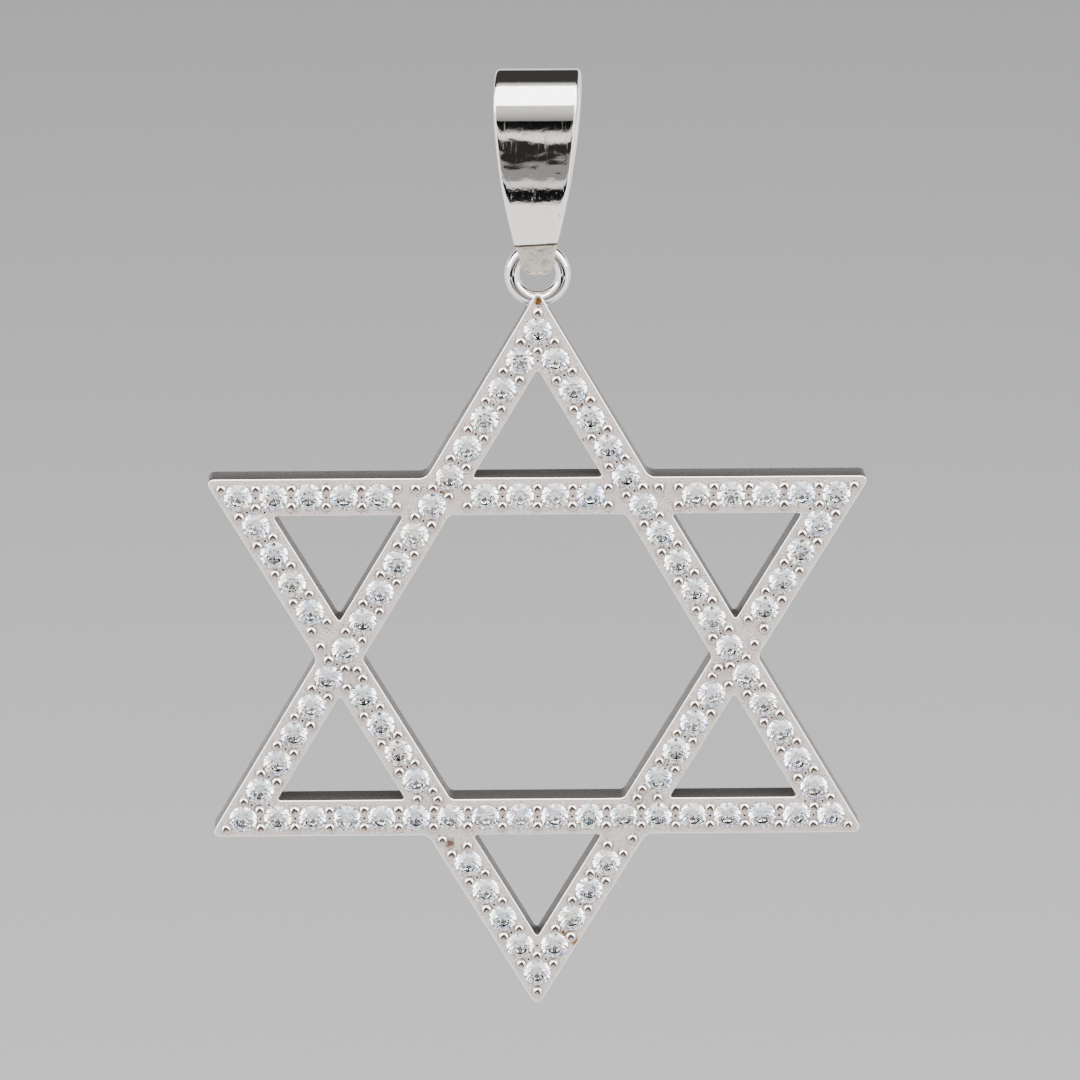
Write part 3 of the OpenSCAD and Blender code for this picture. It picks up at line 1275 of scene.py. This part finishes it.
@dataclass
class Bail:
    """The folded strip that the chain passes through. Sizes are in millimetres. The bulge is the
    radius of the leaves, and the steps are the faces over the top, down a leaf and under the
    foot."""

    strip_t: float = 0.5
    top_r: float = 2.2
    foot_w: float = 1.2
    bulge: float = 30.0
    seam_facing: float = 0.3
    edge_round: float = 0.2
    edge_faces: int = 5
    cuts: int = 23
    steps: tuple[int, int, int] = (28, 64, 20)
    seam_h: float = 2.0
    seam_line: float = 0.16
    seam_share: float = 0.6
    seam_lean: float = 0.05
    seam_blend: float = 0.5
    seam_step: float = 0.12
    corner_r: float = 0.4
    foot_lumps: float = 0.025
    lump_size: float = 0.16
    lump_seed: tuple[float, float, float] = (7, 3, 1)
    twist: float = 0.09
    nick_z: float = -6.7
    nick_size: float = 0.2
    nick_depth: float = 0.12
    ripple: float = 0.0035
    ripple_size: tuple[float, float] = (0.55, 0.3)
    ripple_seed: float = 5
    rippled: tuple[float, float] = (-3.9, 0.9)
    fade_up: float = 0.6
    fade_h: float = 1.0
    bend_sway: float = 0.12
    bend_wave: float = 1.7
    bends: tuple[Bend, ...] = (Bend(-3.3, 0.30, -0.5), Bend(-4.2, 0.45, 0.6))
    dents: tuple[Dent, ...] = (
        Dent((-1.2, -3.3), (0.42, 0.62), 0.0085), Dent((-0.62, -2.95), (0.12, 0.14), 0.004),
        Dent((-0.95, -3.95), (0.25, 0.08), -0.003), Dent((0.8, -4.05), (0.7, 0.12), -0.003),
        Dent((1.25, -4.3), (0.16, 0.3), 0.006), Dent((0.4, -4.4), (0.1, 0.4), 0.004))
    smooth_angle: float = 40.0
    cad: tuple[Vector, Vector] = field(default_factory=lambda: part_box("bail"))

    def __post_init__(self) -> None:
        """Works out the outline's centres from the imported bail."""
        low, high = (corner / MM for corner in self.cad)
        self.top, self.foot, self.half = high.z, low.z, high.x
        joint = frame["joints"][0]
        self.foot_centre = joint["pos_m"][2] / MM
        self.foot_r = self.foot_centre - self.foot
        self.top_centre = self.top - self.top_r
        long, short = self.bulge - self.top_r, self.bulge - self.foot_r
        rise = self.foot_centre - self.top_centre
        self.leaf_z = (long ** 2 - short ** 2 - self.top_centre ** 2
                       + self.foot_centre ** 2) / (2 * rise)
        self.leaf_y = math.sqrt(long ** 2 - (self.leaf_z - self.top_centre) ** 2)
        taper = self.half - self.foot_w / 2
        height = self.top - self.foot
        self.taper_r = (height ** 2 + taper ** 2) / (2 * taper)

    def half_width(self, z: float) -> float:
        """Half the strip's width at a height.

        Args:
            z: Height in the row frame.

        Returns:
            The half width, rounded off at the foot's corners.
        """
        down = self.top - z
        wide = self.half - self.taper_r + math.sqrt(self.taper_r ** 2 - down ** 2)
        above = max(z - self.foot, 0.0)
        if above < self.corner_r:
            wide -= self.corner_r - math.sqrt(self.corner_r ** 2 - (self.corner_r - above) ** 2)
        return wide

    def section(self) -> bpy.types.Object:
        """The strip's section at the top: a flat oblong with rounded edges.

        Returns:
            The object, a closed loop of edges.
        """
        bpy.ops.mesh.primitive_plane_add(
            size=1, location=(0, 0, self.top - self.strip_t / 2), rotation=(math.pi / 2, 0, 0))
        bpy.context.active_object.scale = (2 * self.half, self.strip_t, 1)
        strip = take("bail")
        with editing(strip, "VERT", lambda v: True):
            bpy.ops.mesh.bevel(affect="VERTICES", offset=self.edge_round, segments=self.edge_faces)
        with editing(strip, "FACE", lambda f: True):
            bpy.ops.mesh.delete(type="ONLY_FACE")
        with editing(strip, "EDGE", lambda e: e.calc_length() > 1):
            bpy.ops.mesh.subdivide(number_cuts=self.cuts)
        return strip

    def sweep(self, strip: bpy.types.Object) -> None:
        """Spins the section over the top, down one leaf and under the foot, and mirrors that.

        Args:
            strip: The section.
        """
        top_end = math.atan2(self.top_centre - self.leaf_z, self.leaf_y)
        leaf_end = math.atan2(self.foot_centre - self.leaf_z, self.leaf_y)
        arcs = (((0, self.top_centre), math.pi / 2 - top_end),
                ((-self.leaf_y, self.leaf_z), top_end - leaf_end),
                ((0, self.foot_centre), leaf_end + math.pi / 2))
        with editing(strip, "EDGE", lambda e: True):
            for ((y, z), angle), steps in zip(arcs, self.steps):
                bpy.ops.mesh.spin(steps=steps, angle=angle, center=(0, y, z), axis=(1, 0, 0))
        with editing(strip, "VERT", lambda v: abs(v.co.y) < TOUCH):
            bpy.ops.transform.resize(value=(1, 0, 1), center_override=(0, 0, 0))
        shaped_by(strip, "MIRROR", use_axis=(False, True, False), merge_threshold=TOUCH)
        for shift in (-self.seam_line / 2, self.seam_line / 2):
            level = self.foot + self.seam_h + shift
            with editing(strip, "FACE", lambda f: f.calc_center_median().y < 0):
                bpy.ops.mesh.bisect(plane_co=(0, 0, level), plane_no=(0, 0, 1))
        with editing(strip, "VERT", lambda v: True):
            bpy.ops.mesh.remove_doubles(threshold=TOUCH / 2)
            bpy.ops.mesh.normals_make_consistent(inside=False)

    def tapered(self, place: Vector) -> Vector:
        """Where the taper brings a point of the strip, its rounded edge kept.

        Args:
            place: Point in millimetres.

        Returns:
            The point.
        """
        wide = self.half_width(place.z)
        rim = min(self.edge_round, wide / 2)
        side = math.copysign(1.0, place.x)
        if side > 0 and place.y < 0:
            wide -= self.nick_depth * math.exp(-((place.z - self.nick_z) / self.nick_size) ** 2)
        across = abs(place.x)
        if across > self.half - self.edge_round:
            across = wide - (self.half - across) * rim / self.edge_round
        else:
            across *= (wide - rim) / (self.half - self.edge_round)
        return Vector((side * across, place.y, place.z))

    def leaf_shift(self, place: Vector) -> float:
        """How far a point of the front leaf lies out from the smooth outline.

        Args:
            place: Point in millimetres.

        Returns:
            The shift towards the viewer.
        """
        shift = 0.0
        for bend in self.bends:
            lean = self.bend_sway * math.sin(self.bend_wave * place.x + bend.height)
            reach = bend.length * math.tan(math.radians(bend.angle))
            shift -= reach * math.tanh((place.z - bend.height - lean) / bend.length)
        for dent in self.dents:
            apart = ((place.x - dent.place[0]) / dent.size[0]) ** 2
            apart += ((place.z - dent.place[1]) / dent.size[1]) ** 2
            shift -= dent.depth * math.exp(-apart)
        middle, reach = self.rippled
        wide, tall = self.ripple_size
        wave = noise.noise(Vector((place.x / wide, place.z / tall, self.ripple_seed)))
        shift -= self.ripple * wave * math.exp(-((place.z - middle) / reach) ** 4)
        fade = min(max((self.top_centre + self.fade_up - place.z) / self.fade_h, 0.0), 1.0)
        fade *= min(max((place.z - self.foot - self.seam_h) / self.fade_h, 0.0), 1.0)
        return shift * fade * fade * (3 - 2 * fade)

    def stepped(self, place: Vector) -> float:
        """How far the outer face steps back below the seam.

        Args:
            place: Point in millimetres.

        Returns:
            The step, less and less towards the foot.
        """
        above = place.z - self.foot
        if place.y >= 0 or above > self.seam_h:
            return 0.0
        inner_r, beside = self.bulge - self.strip_t, place.z - self.leaf_z
        inner = math.sqrt(inner_r ** 2 - beside ** 2) - self.leaf_y
        outside = min(max((-place.y - inner) / self.strip_t, 0.0), 1.0)
        return self.seam_step * outside * above / self.seam_h

    def settle(self, strip: bpy.types.Object) -> None:
        """Moves every point of the swept strip to its final place.

        Args:
            strip: The swept strip.
        """
        for vertex in strip.data.vertices:
            place = self.tapered(vertex.co)
            if place.y < 0:
                shift = self.leaf_shift(place) - self.stepped(place)
                above = place.z - self.foot
                if above < self.seam_h:
                    lump = noise.noise(Vector(self.lump_seed) + place / self.lump_size)
                    shift += min(lump * self.foot_lumps, 0.0)
                place.y -= shift
                near_seam = math.exp(-((above - self.seam_h) / self.seam_blend) ** 2)
                place.z += self.seam_lean * place.x * near_seam
            rise = min((place.z - self.foot) / self.seam_h, 1.0)
            place.x += self.twist * place.y * rise
            vertex.co = place

    def build(self) -> bpy.types.Object:
        """Models the bail.

        Returns:
            The object.
        """
        strip = self.section()
        self.sweep(strip)
        self.settle(strip)
        strip.name = strip.data.name = "folded_bail"
        smoothed(strip, self.smooth_angle)
        return strip

    def kind(self, face: bpy.types.MeshPolygon) -> BailFace:
        """Which finish a face takes: the seam's line, the soldered foot or polished silver.

        Args:
            face: Face of the finished bail.

        Returns:
            The kind of face.
        """
        above = face.center.z - self.seam_lean * face.center.x - self.foot - self.seam_h
        in_front = face.center.y < 0
        on_line = abs(above) < self.seam_line * self.seam_share
        if in_front and on_line and -face.normal.y > self.seam_facing:
            return BailFace.SEAM
        return BailFace.FOOT if in_front and above < 0 else BailFace.POLISHED


# The studio


@dataclass(frozen=True)
class Camera:
    """The photograph's viewpoint. Lengths are in millimetres, angles in degrees."""

    elevation: float = 19.53
    turn: float = 1.24
    roll: float = 0.38
    distance: float = 333.75
    right: float = 0.15
    up: float = 6.11
    lens: float = 206.67
    sensor: float = 36.0

    def build(self, target: Vector) -> bpy.types.Object:
        """Makes the camera.

        Args:
            target: The star's centre in the row frame, in metres.

        Returns:
            The camera.
        """
        bpy.ops.object.camera_add()
        camera = bpy.context.active_object
        look = (Matrix.Rotation(math.radians(self.roll), 4, "Z")
                @ Matrix.Rotation(math.radians(self.turn), 4, "Y")
                @ Matrix.Rotation(math.radians(self.elevation - 90), 4, "X")).transposed()
        seat = Vector((self.right, self.up, self.distance)) * MM
        camera.matrix_world = Matrix.Translation(target) @ look @ Matrix.Translation(seat)
        camera.data.lens = self.lens
        camera.data.sensor_width = self.sensor
        camera.data.clip_start = 0.01
        camera.data.clip_end = 10.0
        bpy.context.scene.camera = camera
        return camera


@dataclass(frozen=True)
class Softbox:
    """A soft light. Its place is given by angles about the pendant's middle, in degrees, and
    distance, width and height are in metres."""

    name: str
    azimuth: float
    elevation: float
    distance: float
    width: float
    height: float
    power: float

    def build(self, target: Vector) -> None:
        """Makes the light.

        Args:
            target: The point that it faces, in metres.
        """
        turn, lift = math.radians(self.azimuth), math.radians(self.elevation)
        out = Vector((math.sin(turn) * math.cos(lift), -math.cos(turn) * math.cos(lift),
                      math.sin(lift)))
        bpy.ops.object.light_add(type="AREA", location=target + out * self.distance,
                                 rotation=out.to_track_quat("Z", "Y").to_euler())
        light = bpy.context.active_object
        light.name = self.name
        light.data.shape = "RECTANGLE"
        light.data.size = self.width
        light.data.size_y = self.height
        light.data.energy = self.power
        light.visible_camera = False


@dataclass(frozen=True)
class Band:
    """One band of the tent in front: the elevation of its upper edge in degrees, its light, and
    the light at its upper edge where it isn't even."""

    top: float
    light: float
    top_light: float | None = None


@dataclass
class Studio:
    """Pale floor, light tent and softboxes. Lengths are in metres. The tent is described by its
    light as a strength of the world, and by edges as parts of a direction."""

    target: Vector
    floor_drop: float = 0.10
    floor_half: float = 3.0
    floor_colour: Colour = (0.36, 0.36, 0.36)
    floor_roughness: float = 0.9
    floor_sheen: float = 0.1
    backdrop: float = 0.4
    gloom: float = 0.008
    behind: float = 1.4
    behind_above: float = 0.04
    side_light: float = 2.0
    side_edge: tuple[float, float] = (0.5, 0.65)
    stone_light: float = 1.45
    stone_behind: float = 0.3
    stone_above: float = 3.0
    lens_way: tuple[float, float, float] = (-0.03, -0.942, 0.334)
    lens_light: float = 0.12
    lens_edge: tuple[float, float] = (0.98, 0.94)
    band_blur: float = 0.006
    bands: tuple[Band, ...] = (
        Band(-70, 1.7), Band(-33, 1.6), Band(-29.6, 0.0), Band(-27.8, 1.1), Band(-23.4, 0.3),
        Band(-19.6, 0.02), Band(-17.5, 1.4), Band(-11.4, 0.0), Band(14, 0.3, 0.85),
        Band(34, 0.85, 1.15), Band(90, 1.4))
    lights: tuple[Softbox, ...] = (
        Softbox("overhead_box", 0, 61, 0.36, 0.55, 0.36, 3.2),
        Softbox("left_box", -78, 30, 0.45, 0.30, 0.45, 2.4),
        Softbox("right_box", 78, 30, 0.45, 0.30, 0.45, 2.4))

    def floor(self) -> None:
        """The plain pale floor, seen by the camera and lit, but kept out of the reflections."""
        bpy.ops.mesh.primitive_plane_add(size=2 * self.floor_half,
                                         location=(0, 0, self.target.z - self.floor_drop))
        floor = take("pale_floor")
        paint = bpy.data.materials.new("pale_floor")
        paint.use_nodes = True
        shader = paint.node_tree.nodes["Principled BSDF"]
        shader.inputs["Base Color"].default_value = (*self.floor_colour, 1.0)
        shader.inputs["Roughness"].default_value = self.floor_roughness
        shader.inputs["Specular IOR Level"].default_value = self.floor_sheen
        floor.data.materials.append(paint)
        floor.visible_glossy = False
        floor.visible_transmission = False

    def banded(self, graph: Graph, up: bpy.types.NodeSocket) -> bpy.types.NodeSocket:
        """The light of the tent's bands.

        Args:
            graph: Graph of the world.
            up: Output with the upward part of the direction.

        Returns:
            The output socket.
        """
        node = graph.add("ShaderNodeValToRGB", {"Fac": graph.maths("MULTIPLY_ADD", up, 0.5, 0.5)})
        stops = node.color_ramp.elements
        brightest = 2.0
        lower = 0.0
        for number, band in enumerate(self.bands):
            upper = (math.sin(math.radians(band.top)) + 1) / 2
            last = band.light if band.top_light is None else band.top_light
            for place, light in ((lower + self.band_blur / 2, band.light),
                                 (upper - self.band_blur / 2, last)):
                first = number == 0 and place < upper / 2
                stop = stops[0] if first else stops.new(place)
                stop.position = place
                stop.color = (*[light / brightest] * 3, 1.0)
            lower = upper
        stops.remove(stops[len(stops) - 1])
        return graph.maths("MULTIPLY", node.outputs["Color"], brightest)

    def tent_light(self) -> None:
        """The light tent round the pendant: banded in front, bright at the sides, and behind
        bright up to the horizon and dark above it. Light that has passed a stone comes from an
        evener tent with a dark spot where the photographer's lens is."""
        world = bpy.data.worlds.new("light_tent")
        bpy.context.scene.world = world
        world.use_nodes = True
        world.node_tree.nodes.clear()
        graph = Graph(world.node_tree)
        way = graph.add("ShaderNodeTexCoord").outputs["Generated"]
        split = graph.add("ShaderNodeSeparateXYZ", {"Vector": way})
        beside = graph.maths("ABSOLUTE", split.outputs["X"])
        back, up = split.outputs["Y"], split.outputs["Z"]
        front = graph.maths("MULTIPLY", self.banded(graph, up),
                            graph.ramp(beside, *self.side_edge, 1.0, 0.0))
        panels = graph.ramp(beside, *self.side_edge, 0.0, self.side_light)
        bright = graph.maths("MULTIPLY", graph.maths("ADD", front, panels),
                             graph.ramp(back, 0.25, -0.05))
        rear = graph.ramp(up, 0.1, 0.3, self.behind, self.behind_above)
        rear = graph.maths("MULTIPLY", rear, graph.ramp(back, 0.0, 0.3))
        bright = graph.maths("ADD", graph.maths("ADD", bright, rear), self.gloom)
        ways = graph.add("ShaderNodeLightPath").outputs
        lens = graph.add("ShaderNodeVectorMath", {0: way, 1: self.lens_way},
                         operation="DOT_PRODUCT").outputs["Value"]
        even = graph.maths("MULTIPLY", graph.ramp(lens, *self.lens_edge, self.lens_light, 1.0),
                           graph.ramp(back, 0.9, 0.2, self.stone_behind, self.stone_light))
        even = graph.maths("MULTIPLY", even, graph.ramp(up, 0.3, 0.6, 1.0, self.stone_above))
        bright = self.either(graph, ways["Is Transmission Ray"], bright, even)
        shown = self.either(graph, ways["Is Camera Ray"], bright, self.backdrop)
        light = graph.add("ShaderNodeBackground", {"Color": (1, 1, 1, 1), "Strength": shown})
        graph.add("ShaderNodeOutputWorld", {"Surface": light.outputs[0]})

    @staticmethod
    def either(graph: Graph, share: object, first: object, second: object) -> bpy.types.NodeSocket:
        """Goes from one value to another.

        Args:
            graph: Graph that the nodes are added to.
            share: Share of the second value.
            first: Number or output socket.
            second: Number or output socket.

        Returns:
            The output socket.
        """
        return graph.maths("MULTIPLY_ADD", graph.maths("SUBTRACT", second, first), share, first)

    def build(self) -> None:
        """Makes everything round the pendant."""
        self.floor()
        self.tent_light()
        for light in self.lights:
            light.build(self.target)


# Finishes of this pendant

SATIN = SilverFinish("satin_cast_silver", (1.000, 0.896, 0.844), (0.505, 0.394, 0.357), 0.36, 0.5,
                     grain_size=0.18, grain_depth=0.07, pits=0.8, metallic=0.8, stains=(
                         Stain((0.05, 20.05), 0.36, (0.14, 0.06, 0.008)),
                         Stain((-4.74, -10.69), 0.42, (0.2, 0.12, 0.085)),
                         Stain((1.41, -16.16), 0.34, (0.42, 0.26, 0.12)),
                         Stain((2.17, -16.58), 0.40, (0.36, 0.2, 0.085)), Stain((-5.62, 9.48), 0.16),
                         Stain((-5.04, 9.48), 0.14), Stain((2.29, 14.24), 0.15),
                         Stain((2.40, 12.34), 0.14)))
# Painted reflection: the dark colour of the bars' walls stands in for the dark surroundings that they
# reflect, not for the silver's own colour.
ROUGH = SilverFinish("cast_wall_painted_dark_reflection", (0.21, 0.20, 0.195), (0.06, 0.055, 0.05), 0.5, 0.75,
                     grain_size=0.13, grain_depth=0.02, pits=1.2)
BRIGHT = SilverFinish("bright_bead_silver", (0.98, 0.945, 0.925), (0.91, 0.87, 0.85), 0.14, 0.25,
                      grain_size=0.2, grain_depth=0.002)
SEAT = SilverFinish("seat_silver", (0.95, 0.93, 0.92), (0.80, 0.78, 0.77), 0.22, 0.35,
                    grain_size=0.2, grain_depth=0.002)
# Painted reflection and shade: the near-black colour of the bead marks stands in for the dark
# surroundings reflected in them, and it darkens the pits as shade.
HOLLOW = SilverFinish("hollow_painted_shade", (0.17, 0.135, 0.12), (0.08, 0.06, 0.05), 0.42, 0.6,
                      grain_size=0.1, grain_depth=0.004)
# Painted shade: the darker colour on the sides of each bead stands in for the shade round its foot,
# not for tarnish.
BEAD_SIDE_SHADE = SilverFinish("bead_side_painted_shade", (0.46, 0.42, 0.40), (0.27, 0.24, 0.22), 0.3, 0.45,
                      grain_size=0.1, grain_depth=0.002)
POLISHED = SilverFinish("polished_silver", (0.98, 0.94, 0.90), (0.94, 0.90, 0.86), 0.03, 0.08,
                        grain_size=0.5, grain_depth=0.002, scratch_depth=0.0008)
BACK = SilverFinish("plain_cast_back", (0.98, 0.955, 0.94), (0.80, 0.77, 0.75), 0.34, 0.5,
                    grain_size=0.22, grain_depth=0.03, pits=0.7)
FOOT = SilverFinish("soldered_silver", (0.60, 0.54, 0.475), (0.26, 0.21, 0.165), 0.22, 0.4,
                    grain_size=0.75, grain_depth=0.035, pits=0.25)
SEAM = SilverFinish("seam_tarnish", (0.13, 0.10, 0.075), (0.07, 0.045, 0.03), 0.55, 0.7,
                    grain_size=0.1, grain_depth=0.01)
BAR_FINISHES = {
    BarFace.SATIN: SATIN, BarFace.ROUGH: ROUGH, BarFace.BRIGHT: BRIGHT, BarFace.SEAT: SEAT,
    BarFace.HOLLOW: HOLLOW, BarFace.BACK: BACK, BarFace.BEAD_SIDE_SHADE: BEAD_SIDE_SHADE}
BAIL_FINISHES = {BailFace.POLISHED: POLISHED, BailFace.FOOT: FOOT, BailFace.SEAM: SEAM}
CLEAR = StoneFinish("clear_stone", (0.985, 0.99, 1.0))
COOL = StoneFinish("stone_flash_cool", (0.28, 0.48, 1.0))
VIOLET = StoneFinish("stone_flash_violet", (0.62, 0.42, 1.0))
WARM = StoneFinish("stone_flash_warm", (1.0, 0.62, 0.36))
GREEN = StoneFinish("stone_flash_green", (0.5, 1.0, 0.72))


@dataclass
class Pendant:
    """The whole pendant: builds its pieces and dresses them. The fields below the plan tell the
    kinds of face apart: millimetres beyond a seat, shares of a bead's radius, and how squarely a
    face looks to the front, from 0 to 1."""

    plan: StarPlan = field(default_factory=StarPlan)
    seat_rim: float = 0.05
    bead_skirt: float = 1.2
    mark_share: float = 0.8
    mark_facing: float = 0.8
    shade_facing: float = 0.6
    flat_facing: float = 0.99
    edge_facing: float = 0.2

    @cached_property
    def maker(self) -> StarBars:
        """What models the bars."""
        return StarBars(self.plan)

    @cached_property
    def ring_maker(self) -> SolderedRing:
        """What models the ring and its solder."""
        return SolderedRing(self.plan)

    def dress_bars(self, bars: bpy.types.Object, finishes: list[bpy.types.Material]) -> None:
        """Gives every face of the bars its finish.

        Args:
            bars: The body of the star.
            finishes: One finish for each kind of face.
        """
        for finish in finishes:
            bars.data.materials.append(finish)
        plan = self.plan
        stones = [p for turn in Turn for p in plan.stones(turn)]
        near = [self.tree([plan.place(p, plan.front) for p in points])
                for points in (stones, plan.beads(), plan.pits())]
        for face in bars.data.polygons:
            stone, bead, pit = (tree.find(face.center)[0] for tree in near)
            face.material_index = self.kind(face, stone, bead, pit)

    def kind(self, face: bpy.types.MeshPolygon, stone: Vector, bead: Vector,
             pit: Vector) -> BarFace:
        """Which finish a face of the bars takes.

        Args:
            face: Face of the finished bars.
            stone: Place of the nearest stone on the bars' front.
            bead: Place of the nearest bead.
            pit: Place of the nearest pit.

        Returns:
            The kind of face.
        """
        plan, maker, centre = self.plan, self.maker, face.center
        facing = -face.normal.y
        above = -plan.front - centre.y
        if above < TOUCH - plan.bar_t:
            return BarFace.BACK
        to_bead = centre - bead
        if above > RAISED and to_bead.length < maker.bead_r * self.bead_skirt:
            within = to_bead.length < maker.bead_r
            hollowed = face.normal.dot(to_bead.normalized()) < self.mark_facing
            # The mark in each bead's top takes the near-black painted reflection.
            if within and hollowed and self.across(centre, bead) < maker.bead_r * self.mark_share:
                return BarFace.HOLLOW
            # Bead sides that turn away from the front take the painted shade; the rest of the bead
            # stays bright silver.
            return BarFace.BEAD_SIDE_SHADE if facing < self.shade_facing else BarFace.BRIGHT
        # The pits take the same near-black colour as painted shade.
        if self.across(centre, pit) < maker.pit_r and above < -2 * RAISED:
            return BarFace.HOLLOW
        flat = facing > self.flat_facing
        if not flat and self.across(centre, stone) < plan.seat_r + self.seat_rim:
            return BarFace.SEAT
        if flat or abs(above) < TOUCH:
            return BarFace.SATIN
        to_solder = (centre - self.ring_maker.solder_centre).length
        if facing > self.edge_facing or to_solder < self.ring_maker.solder_reach:
            return BarFace.BRIGHT
        # Walls away from the solder take the dark painted reflection, except the back's edge.
        at_back = above < TOUCH + maker.back_bevel - plan.bar_t
        return BarFace.BACK if at_back else BarFace.ROUGH

    @staticmethod
    def across(first: Vector, second: Vector) -> float:
        """Distance between two points as seen from the front."""
        return Vector((first.x - second.x, first.z - second.z)).length

    @staticmethod
    def tree(points: list[Vector]) -> KDTree:
        """A tree that finds the nearest of these points.

        Args:
            points: The points.

        Returns:
            The balanced tree.
        """
        tree = KDTree(len(points))
        for index, point in enumerate(points):
            tree.insert(point, index)
        tree.balance()
        return tree

    def build_bars(self, finishes: list[bpy.types.Material]) -> None:
        """Builds and dresses the star's bars.

        Args:
            finishes: One finish for each kind of face.
        """
        bars = self.maker.build()
        self.dress_bars(bars, finishes)
        hand_over(bars, Body.STAR, Slot.CAST, "star_frame")

    def build_ring(self, polished: bpy.types.Material, soldered: bpy.types.Material) -> None:
        """Builds and dresses the ring with its solder.

        Args:
            polished: Finish of the wire.
            soldered: Finish of the solder.
        """
        ring = self.ring_maker.build()
        ring.data.materials.append(polished)
        ring.data.materials.append(soldered)
        solder = self.ring_maker.solder_centre
        reach = self.ring_maker.solder_d * self.ring_maker.solder_share
        for face in ring.data.polygons:
            face.material_index = int((face.center - solder).length < reach)
        hand_over(ring, Body.STAR, Slot.CAST, "star_frame")

    def build_stones(self, finishes: list[bpy.types.Material]) -> None:
        """Builds and dresses the stones of both triangles.

        Args:
            finishes: The clear finish, then the flashes.
        """
        for turn, seed, node in ((Turn.UPRIGHT, 11, "stones_upright"),
                                 (Turn.INVERTED, 23, "stones_inverted")):
            rows = StoneRows(self.maker, turn, seed)
            stones = rows.build("cut_" + node)
            rows.dress(stones, finishes)
            hand_over(stones, Body.STAR, Slot.STONE, node)

    def build_bail(self, finishes: list[bpy.types.Material]) -> None:
        """Builds and dresses the bail.

        Args:
            finishes: One finish for each kind of face.
        """
        bail_maker = Bail()
        bail = bail_maker.build()
        for finish in finishes:
            bail.data.materials.append(finish)
        for face in bail.data.polygons:
            face.material_index = bail_maker.kind(face)
        hand_over(bail, Body.BAIL, Slot.POLISHED, "bail")

    def build(self) -> None:
        """Builds and dresses every piece."""
        effects = Effects()
        centre = self.plan.place(Vector((0, 0)), self.plan.front)
        on_bars = [BAR_FINISHES[kind].material(effects, centre) for kind in BarFace]
        on_bail = [BAIL_FINISHES[kind].material(effects) for kind in BailFace]
        on_stones = [finish.material() for finish in (CLEAR, COOL, VIOLET, WARM, GREEN)]
        self.build_bars(on_bars)
        self.build_ring(on_bail[BailFace.POLISHED], on_bars[BarFace.BRIGHT])
        self.build_stones(on_stones)
        self.build_bail(on_bail)


def main() -> None:
    """Builds the pendant and its studio."""
    logging.basicConfig(level=logging.INFO, format="%(name)s: %(message)s")
    pendant = Pendant()
    star = pendant.plan.place(Vector((0, 0))) * MM
    Camera().build(star)
    pendant.build()
    Studio(star).build()


if __name__ == "__main__":
    main()
